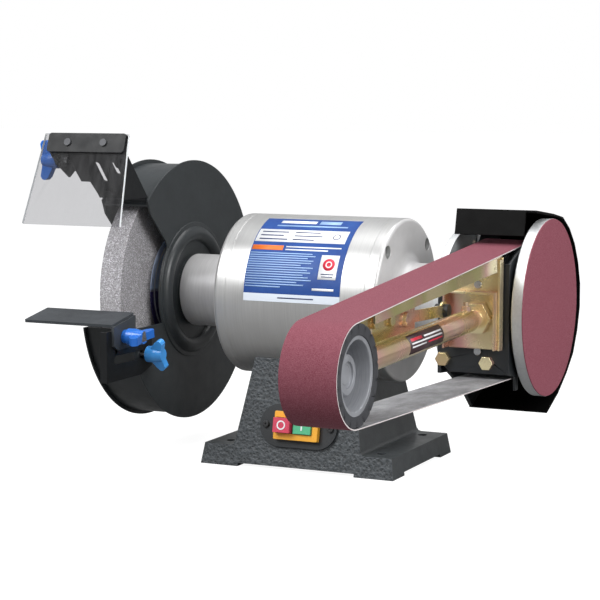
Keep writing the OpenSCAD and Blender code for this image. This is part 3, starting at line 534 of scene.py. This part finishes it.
def label_disc(name, look, x, angle, r0, r1, lift):
    """A flat round sign on the label, a ring or a disc."""
    a = math.radians(angle)
    out = Vector((0, -math.cos(a), math.sin(a)))
    up = Vector((0, math.sin(a), math.cos(a)))
    across = Vector((1, 0, 0))
    centre = Vector((x, 0, SHAFT_Z))
    verts, faces, n = [], [], 32
    for lift_now in (FILM, lift):
        for r in (r0, r1):
            for i in range(n):
                t = 2 * math.pi * i / n
                p = centre + across * (r * math.cos(t)) + up * (r * math.sin(t))
                sag = MOTOR_R * math.cos(math.asin(min(1, abs(r * math.sin(t)) / MOTOR_R)))
                verts.append(p + out * (sag + lift_now))
    for i in range(n):
        j = (i + 1) % n
        faces += [(2 * n + i, 2 * n + j, 3 * n + j, 3 * n + i), (n + i, n + j, 3 * n + j, 3 * n + i),
                  (i, j, n + j, n + i), (i, j, 2 * n + j, 2 * n + i)]
    piece(name, verts, faces, "root", M[look], slot="label_blue")


def label_print():
    """Generic blocks and bars in place of the label's print, from its top edge down."""
    label_patch("label_title_bar", "white", -38 * MM, 2 * MM, 66.5, 70.2)
    label_patch("label_title_block", "print_blue", 6 * MM, 30 * MM, 66.0, 70.6)
    label_patch("label_subtitle", "print_blue", -40 * MM, 40 * MM, 62.2, 63.6)
    label_patch("label_rating_box", "white", -56 * MM, 45.5 * MM, 45.5, 58)
    for i, (x0, x1) in enumerate(((-52, -22), (-14, 14), (-52, -26), (-14, 18), (-52, -20), (-14, 10))):
        a = 55.2 - 3.6 * (i // 2)
        label_patch(f"label_rating_{i}", "print_dark", x0 * MM, x1 * MM, a - 0.55, a + 0.55, 0.0006)
    label_disc("label_rating_ring", "print_dark", 34 * MM, 51.8, 3.2 * MM, 4.2 * MM, 0.0006)
    label_patch("label_signal_bar", "print_orange", -56 * MM, -21 * MM, 38.4, 42.3)
    for i, (x0, x1) in enumerate(((-18, 44), (-18, 30))):
        label_patch(f"label_signal_text_{i}", "white", x0 * MM, x1 * MM, 41.0 - 2.4 * i, 42.0 - 2.4 * i)
    widths = (70, 74, 66, 73, 71, 60, 74, 68, 72, 64, 70, 74, 58, 66, 40)
    for i, w in enumerate(widths):
        a = 36.0 - 1.75 * i
        label_patch(f"label_text_{i}", "print_blue", -56 * MM, (-56 + w) * MM, a - 0.42, a + 0.3, steps=2)
    label_patch("label_sign_box", "white", 25 * MM, 45 * MM, 17.9, 35.7)
    label_disc("label_sign_disc", "print_red", 35 * MM, 28.6, 0.2 * MM, 6.6 * MM, 0.0007)
    label_disc("label_sign_mark", "white", 35 * MM, 28.6, 2.4 * MM, 3.6 * MM, 0.0008)
    label_patch("label_sign_text_0", "print_dark", 28 * MM, 42 * MM, 21.2, 21.9, 0.0006, 2)
    label_patch("label_sign_text_1", "print_dark", 29 * MM, 41 * MM, 19.4, 20.1, 0.0006, 2)
    label_patch("label_code", "white", 20 * MM, 44 * MM, 10.0, 11.6, steps=2)
    label_patch("label_strip_text", "print_dark", -18 * MM, 22 * MM, 3.6, 4.4, steps=2)


def belt_piece():
    """The abrasive belt: grit outside, cloth inside, pale cut edges."""
    half = math.pi / 2 + math.asin((DRIVE_R - IDLER_R) / CENTRES)
    drive_steps, run_steps, idler_steps, cols = 48, 40, 32, 6
    thickness = (0.00002, 0.00098)
    # the loop as (centre, radius, angle): round the drive wheel, out, round the idler, back
    line = [(0.0, DRIVE_R, half - 2 * half * i / drive_steps) for i in range(drive_steps + 1)]
    line += [(-CENTRES * i / run_steps, DRIVE_R + (IDLER_R - DRIVE_R) * i / run_steps, -half)
             for i in range(1, run_steps)]
    line += [(-CENTRES, IDLER_R, -half - 2 * (math.pi - half) * i / idler_steps)
             for i in range(idler_steps + 1)]
    for i in range(1, run_steps):
        k = 1 - i / run_steps
        line.append((-CENTRES * k, DRIVE_R + (IDLER_R - DRIVE_R) * k, half))
    across = [BELT_X - BELT_HALF + 2 * BELT_HALF * c / cols for c in range(cols + 1)]
    verts = [arm_point(x, -(centre + (r + t) * math.cos(a)), (r + t) * math.sin(a))
             for centre, r, a in line for t in thickness for x in across]
    grit_side, cloth_side, cut_edge = 0, 1, 2
    side = cols + 1
    faces, kinds = [], []
    for i in range(len(line)):
        p, q = i * 2 * side, (i + 1) % len(line) * 2 * side
        for c in range(cols):
            faces.append((p + c, p + c + 1, q + c + 1, q + c))
            faces.append((p + side + c, q + side + c, q + side + c + 1, p + side + c + 1))
            kinds += [cloth_side, grit_side]
        for c in (0, cols):
            faces.append((p + c, q + c, q + side + c, p + side + c))
            kinds.append(cut_edge)
    o = piece("belt_loop", verts, faces, None, M["grit"], M["cloth"], M["edge"], slot="abrasive")
    for p, kind in zip(o.data.polygons, kinds):
        p.material_index = kind
    split = o.modifiers.new("edges", "EDGE_SPLIT")
    split.split_angle = math.radians(40)
    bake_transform(o)
    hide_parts("belt")


def spring_piece():
    """The tension spring as one coiled wire."""
    turns, wire_r, coil_r = 9, 0.0013, 0.0056
    start, end = 0.302, 0.3425
    verts, faces, around, steps = [], [], 10, turns * 24
    for i in range(steps + 1):
        t = i / steps
        a = 2 * math.pi * turns * t
        along = start + (end - start) * t
        for k in range(around):
            b = 2 * math.pi * k / around
            r = coil_r + wire_r * math.cos(b)
            verts.append(arm_point(BELT_X + r * math.cos(a), along + wire_r * math.sin(b), r * math.sin(a)))
    for i in range(steps):
        for k in range(around):
            p, q = i * around + k, i * around + (k + 1) % around
            faces.append((p, q, q + around, p + around))
    o = piece("spring_coil", verts, faces, None, M["spring"], slot="spring_steel")
    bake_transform(o)
    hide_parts("tension_spring")


def tube_decal():
    """Generic bars on a dark patch round the sliding tube."""
    steps = 10

    def patch(name, look, s0, s1, b0, b1, lift):
        verts = []
        for i in range(steps + 1):
            b = math.radians(b0 + (b1 - b0) * i / steps)
            for r in (TUBE_R + 0.00005, TUBE_R + lift):
                for s in (s0, s1):
                    verts.append(arm_point(BELT_X + r * math.cos(b), s, r * math.sin(b)))
        piece(name, verts, strip_faces(steps), "slider", M[look], slot="yellow_zinc")

    patch("tube_decal_field", "decal", 0.212, 0.292, -34, 62, 0.0002)
    patch("tube_decal_title", "print_red", 0.262, 0.288, 26, 40, 0.0003)
    patch("tube_decal_line_0", "white", 0.216, 0.257, 28, 36, 0.0003)
    patch("tube_decal_line_1", "white", 0.216, 0.288, 12, 19, 0.0003)
    patch("tube_decal_line_2", "print_red", 0.216, 0.250, -4, 3, 0.0003)
    patch("tube_decal_line_3", "white", 0.255, 0.288, -4, 3, 0.0003)


label_print()
belt_piece()
spring_piece()
tube_decal()


# ---- per-node touches ----

def split_by(node, *rules):
    """Gives a CAD node more materials: a rule is (material, test on a face's centre and normal)."""
    o = nodes[node]
    for m, _ in rules:
        o.data.materials.append(M[m].mat)
    for p in o.data.polygons:
        for i, (_, test) in enumerate(rules):
            if test(p.center, p.normal):
                p.material_index = i + 1


def radius(c, y=0.0, z=SHAFT_Z):
    """Distance from an axis that runs along X, by default the shaft."""
    return math.hypot(c.y - y, c.z - z)


def in_counterbore(c):
    """Within the counterbore of one of the four through bolts."""
    offset, reach = 0.0541, 0.0068
    return min(radius(c, offset * i, SHAFT_Z + offset * j) for i in (-1, 1) for j in (-1, 1)) < reach


def is_strip_screw(c):
    """Beyond the outer face of the shield frame's strip, which leans by 20.5 degrees."""
    strip_face = 0.00205
    return (0.346 - c.z) * -0.3502 - (c.y + 0.1655) * 0.9367 > strip_face


def is_cut_edge(n, lean=math.radians(20.5)):
    """Faces a cut edge of the leaning shield."""
    return abs(n.x) > 0.9 or abs(n.z * math.cos(lean) - n.y * math.sin(lean)) > 0.9


idler = ANCHOR["idler_spin"]
shield_pivot, rest_pivot = ANCHOR["shield_tilt"], ANCHOR["rest_tilt"]
TYRE_SEAT_R = 0.0324
split_by("base_casting", ("column", lambda c, n: abs(n.x) > 0.6 or (n.z > 0.8 and c.z < 0.03)))
split_by("idler_wheel",
         ("rubber", lambda c, n: radius(c, idler.y, idler.z) > TYRE_SEAT_R and abs(c.x - BELT_X) < 0.0244),
         ("zinc", lambda c, n: radius(c, idler.y, idler.z) < 0.0112 and c.x < 0.192))
split_by("sanding_disc", ("disc_grit", lambda c, n: c.x > 0.24385))
split_by("shield_knob", ("zinc", lambda c, n: radius(c, shield_pivot.y, shield_pivot.z) < 0.00302))
split_by("rest_tilt_knob", ("zinc", lambda c, n: radius(c, rest_pivot.y, rest_pivot.z) < 0.00412
                            or c.x < -0.1607))
split_by("tracking_knob", ("zinc", lambda c, n: c.x > 0.1642))
# the rim faces take the lighter copy of the stone: painted light on the rim
split_by("grinding_wheel", ("stone_rim_lit", lambda c, n: radius(c) > 0.1235))
split_by("shield_frame", ("dark_zinc", lambda c, n: is_strip_screw(c)))
for bell in ("left_end_bell", "right_end_bell"):
    split_by(bell, ("motor", lambda c, n: radius(c) > 0.0845 or in_counterbore(c)))
split_by("wheel_yoke", ("hub", lambda c, n: radius(c, idler.y, idler.z) < 0.0085 and c.x > 0.178))
split_by("frame_bolts", ("zinc", lambda c, n: 0.19 < c.x < 0.204 and c.z > 0.1337))
split_by("tension_lever", ("matte", lambda c, n: c.x < 0.1798 or c.x > 0.183))
split_by("eye_shield", ("clear_edge", lambda c, n: is_cut_edge(n)))


# ---- stage ----

def floor():
    """White to the camera, dark to everything else, so that it throws little light on the object."""
    me = bpy.data.meshes.new("floor")
    s = 14
    me.from_pydata([(-s, -s, 0), (s, -s, 0), (s, s, 0), (-s, s, 0)], [], [(0, 1, 2, 3)])
    o = bpy.data.objects.new("floor", me)
    bpy.context.scene.collection.objects.link(o)
    m = Look("floor_white")
    seen = m.new("ShaderNodeLightPath").outputs["Is Camera Ray"]
    cloud = m.span(m.noise(3, 2), 0.3, 0.7, 0, 1)
    m.set(Base_Color=m.mix(cloud, (0.2, 0.2, 0.2, 1), (0.22, 0.22, 0.22, 1)), Roughness=0.9,
           Emission_Strength=m.math("MULTIPLY", seen, 0.93))
    m.shader.inputs["Specular IOR Level"].default_value = 0.1
    m.shader.inputs["Emission Color"].default_value = (1, 1, 1, 1)
    me.materials.append(m.mat)


def aim(o, place, forward):
    """Puts a light or camera in the scene, looking along forward."""
    o.location = place
    o.rotation_mode = "QUATERNION"
    o.rotation_quaternion = forward.to_track_quat("-Z", "Y")
    bpy.context.scene.collection.objects.link(o)


def area(name, place, target, size, power):
    data = bpy.data.lights.new(name, "AREA")
    data.size = size
    data.energy = power
    aim(bpy.data.objects.new(name, data), place, Vector(target) - Vector(place))


def studio():
    """A soft grey world, seen as plain white by the camera, and three square lights."""
    world = bpy.data.worlds.new("studio")
    bpy.context.scene.world = world
    world.use_nodes = True
    t = world.node_tree
    back = t.nodes["Background"]
    place = t.nodes.new("ShaderNodeTexCoord")
    split = t.nodes.new("ShaderNodeSeparateXYZ")
    ramp = t.nodes.new("ShaderNodeValToRGB")
    t.links.new(place.outputs["Generated"], split.inputs[0])
    t.links.new(split.outputs[2], ramp.inputs[0])
    low, high = ramp.color_ramp.elements
    low.color = (1.0, 1.0, 1.0, 1)
    high.position = 0.9
    high.color = (0.55, 0.56, 0.58, 1)
    t.links.new(ramp.outputs[0], back.inputs[0])
    back.inputs[1].default_value = 0.5
    seen = t.nodes.new("ShaderNodeBackground")
    seen.inputs[0].default_value = (1, 1, 1, 1)
    path = t.nodes.new("ShaderNodeLightPath")
    both = t.nodes.new("ShaderNodeMixShader")
    t.links.new(path.outputs["Is Camera Ray"], both.inputs[0])
    t.links.new(back.outputs[0], both.inputs[1])
    t.links.new(seen.outputs[0], both.inputs[2])
    t.links.new(both.outputs[0], t.nodes["World Output"].inputs["Surface"])
    area("key", (-0.9, -1.6, 1.7), (0, 0, 0.15), 1.2, 46)
    area("fill", (1.9, -0.9, 1.3), (0.15, 0, 0.17), 1.3, 42)
    area("top", (0.1, 0.3, 1.9), (0, 0, 0.1), 1.4, 22)


def camera():
    data = bpy.data.cameras.new("camera")
    data.lens = 110.38
    o = bpy.data.objects.new("camera", data)
    yaw, pitch = math.radians(25.25), math.radians(6.51)
    forward = Vector((-math.sin(yaw) * math.cos(pitch), math.cos(yaw) * math.cos(pitch), -math.sin(pitch)))
    aim(o, (0.79791, -1.7611, 0.38977), forward)
    bpy.context.scene.camera = o


floor()
studio()
camera()
view = bpy.context.scene.view_settings
view.view_transform = "Standard"
view.look = "None"
